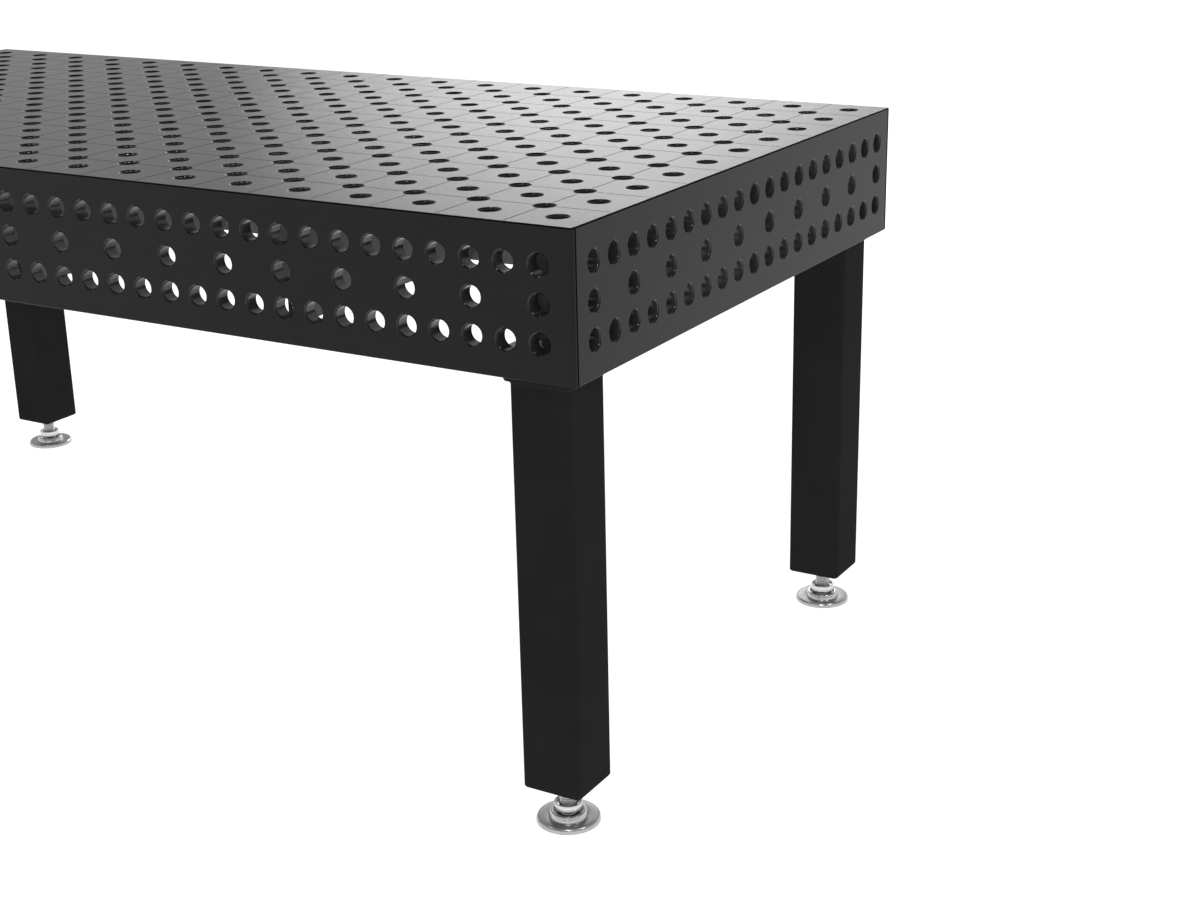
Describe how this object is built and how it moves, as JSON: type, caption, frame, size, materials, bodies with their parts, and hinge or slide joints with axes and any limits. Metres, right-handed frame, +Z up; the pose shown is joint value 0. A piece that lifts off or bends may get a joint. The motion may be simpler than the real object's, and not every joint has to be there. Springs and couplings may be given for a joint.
{
  "type": "welding table",
  "caption": "Perforated steel welding table: square-grid bored top and skirt on four box-section legs with screw-adjusted swivel feet.",
  "frame": {"origin": "on the floor under the middle of the top", "axes": "+X along the length towards the right-hand end, +Y across the width towards the rear, +Z up"},
  "size_m": [2, 1, 0.85],
  "materials": {
    "worktop": "dark nitrided steel, ground to a fine satin",
    "skirt": "dark nitrided steel, ground to a fine satin",
    "ribs": "dark nitrided steel as cut and welded",
    "legs": "black powder coat, fine texture",
    "fasteners": "blackened steel",
    "feet": "bright zinc-plated turned steel"
  },
  "bodies": {
    "table": {"top_plate": "worktop", "skirt_front": "skirt", "skirt_rear": "skirt", "skirt_right": "skirt", "skirt_left": "skirt", "rib_lengthwise": "ribs", "rib_cross_right_front": "ribs", "rib_cross_right_rear": "ribs", "rib_cross_middle_front": "ribs", "rib_cross_middle_rear": "ribs", "rib_cross_left_front": "ribs", "rib_cross_left_rear": "ribs", "leg_mount_front_right": "ribs", "leg_flange_front_right": "legs", "leg_tube_front_right": "legs", "leg_nut_plate_front_right": "legs", "leg_screw_front_right_1": "fasteners", "leg_screw_front_right_2": "fasteners", "leg_screw_front_right_3": "fasteners", "leg_screw_front_right_4": "fasteners", "leg_mount_rear_right": "ribs", "leg_flange_rear_right": "legs", "leg_tube_rear_right": "legs", "leg_nut_plate_rear_right": "legs", "leg_screw_rear_right_1": "fasteners", "leg_screw_rear_right_2": "fasteners", "leg_screw_rear_right_3": "fasteners", "leg_screw_rear_right_4": "fasteners", "leg_mount_front_left": "ribs", "leg_flange_front_left": "legs", "leg_tube_front_left": "legs", "leg_nut_plate_front_left": "legs", "leg_screw_front_left_1": "fasteners", "leg_screw_front_left_2": "fasteners", "leg_screw_front_left_3": "fasteners", "leg_screw_front_left_4": "fasteners", "leg_mount_rear_left": "ribs", "leg_flange_rear_left": "legs", "leg_tube_rear_left": "legs", "leg_nut_plate_rear_left": "legs", "leg_screw_rear_left_1": "fasteners", "leg_screw_rear_left_2": "fasteners", "leg_screw_rear_left_3": "fasteners", "leg_screw_rear_left_4": "fasteners"},
    "spindle_front_right": {"foot_spindle_front_right": "feet"},
    "hub_front_right": {"foot_hub_front_right": "feet"},
    "swivel_front_right": {"foot_swivel_front_right": "feet"},
    "disc_front_right": {"foot_disc_front_right": "feet"},
    "spindle_rear_right": {"foot_spindle_rear_right": "feet"},
    "hub_rear_right": {"foot_hub_rear_right": "feet"},
    "swivel_rear_right": {"foot_swivel_rear_right": "feet"},
    "disc_rear_right": {"foot_disc_rear_right": "feet"},
    "spindle_front_left": {"foot_spindle_front_left": "feet"},
    "hub_front_left": {"foot_hub_front_left": "feet"},
    "swivel_front_left": {"foot_swivel_front_left": "feet"},
    "disc_front_left": {"foot_disc_front_left": "feet"},
    "spindle_rear_left": {"foot_spindle_rear_left": "feet"},
    "hub_rear_left": {"foot_hub_rear_left": "feet"},
    "swivel_rear_left": {"foot_swivel_rear_left": "feet"},
    "disc_rear_left": {"foot_disc_rear_left": "feet"}
  },
  "joints": [
    {"name": "foot_height_front_right", "type": "slide", "parent": "table", "child": "hub_front_right", "axis": [0, 0, -1], "range_m": [-0.022, 0.03]},
    {"name": "spindle_turn_front_right", "type": "hinge", "parent": "hub_front_right", "child": "spindle_front_right", "pos_m": [0.93, -0.43, 0.09], "axis": [0, 0, -1], "range_deg": [-2641, 3601]},
    {"name": "foot_tilt_x_front_right", "type": "hinge", "parent": "hub_front_right", "child": "swivel_front_right", "pos_m": [0.93, -0.43, 0.011], "axis": [1, 0, 0], "range_deg": [-5, 5]},
    {"name": "foot_tilt_y_front_right", "type": "hinge", "parent": "swivel_front_right", "child": "disc_front_right", "pos_m": [0.93, -0.43, 0.011], "axis": [0, 1, 0], "range_deg": [-5, 5]},
    {"name": "foot_height_rear_right", "type": "slide", "parent": "table", "child": "hub_rear_right", "axis": [0, 0, -1], "range_m": [-0.022, 0.03]},
    {"name": "spindle_turn_rear_right", "type": "hinge", "parent": "hub_rear_right", "child": "spindle_rear_right", "pos_m": [0.93, 0.43, 0.09], "axis": [0, 0, -1], "range_deg": [-2641, 3601]},
    {"name": "foot_tilt_x_rear_right", "type": "hinge", "parent": "hub_rear_right", "child": "swivel_rear_right", "pos_m": [0.93, 0.43, 0.011], "axis": [1, 0, 0], "range_deg": [-5, 5]},
    {"name": "foot_tilt_y_rear_right", "type": "hinge", "parent": "swivel_rear_right", "child": "disc_rear_right", "pos_m": [0.93, 0.43, 0.011], "axis": [0, 1, 0], "range_deg": [-5, 5]},
    {"name": "foot_height_front_left", "type": "slide", "parent": "table", "child": "hub_front_left", "axis": [0, 0, -1], "range_m": [-0.022, 0.03]},
    {"name": "spindle_turn_front_left", "type": "hinge", "parent": "hub_front_left", "child": "spindle_front_left", "pos_m": [-0.93, -0.43, 0.09], "axis": [0, 0, -1], "range_deg": [-2641, 3601]},
    {"name": "foot_tilt_x_front_left", "type": "hinge", "parent": "hub_front_left", "child": "swivel_front_left", "pos_m": [-0.93, -0.43, 0.011], "axis": [1, 0, 0], "range_deg": [-5, 5]},
    {"name": "foot_tilt_y_front_left", "type": "hinge", "parent": "swivel_front_left", "child": "disc_front_left", "pos_m": [-0.93, -0.43, 0.011], "axis": [0, 1, 0], "range_deg": [-5, 5]},
    {"name": "foot_height_rear_left", "type": "slide", "parent": "table", "child": "hub_rear_left", "axis": [0, 0, -1], "range_m": [-0.022, 0.03]},
    {"name": "spindle_turn_rear_left", "type": "hinge", "parent": "hub_rear_left", "child": "spindle_rear_left", "pos_m": [-0.93, 0.43, 0.09], "axis": [0, 0, -1], "range_deg": [-2641, 3601]},
    {"name": "foot_tilt_x_rear_left", "type": "hinge", "parent": "hub_rear_left", "child": "swivel_rear_left", "pos_m": [-0.93, 0.43, 0.011], "axis": [1, 0, 0], "range_deg": [-5, 5]},
    {"name": "foot_tilt_y_rear_left", "type": "hinge", "parent": "swivel_rear_left", "child": "disc_rear_left", "pos_m": [-0.93, 0.43, 0.011], "axis": [0, 1, 0], "range_deg": [-5, 5]}
  ],
  "couplings": [
    {"joint": "spindle_turn_front_right", "follows": "foot_height_front_right", "rad_per_m": 2094.4},
    {"joint": "spindle_turn_rear_right", "follows": "foot_height_rear_right", "rad_per_m": 2094.4},
    {"joint": "spindle_turn_front_left", "follows": "foot_height_front_left", "rad_per_m": 2094.4},
    {"joint": "spindle_turn_rear_left", "follows": "foot_height_rear_left", "rad_per_m": 2094.4}
  ]
}
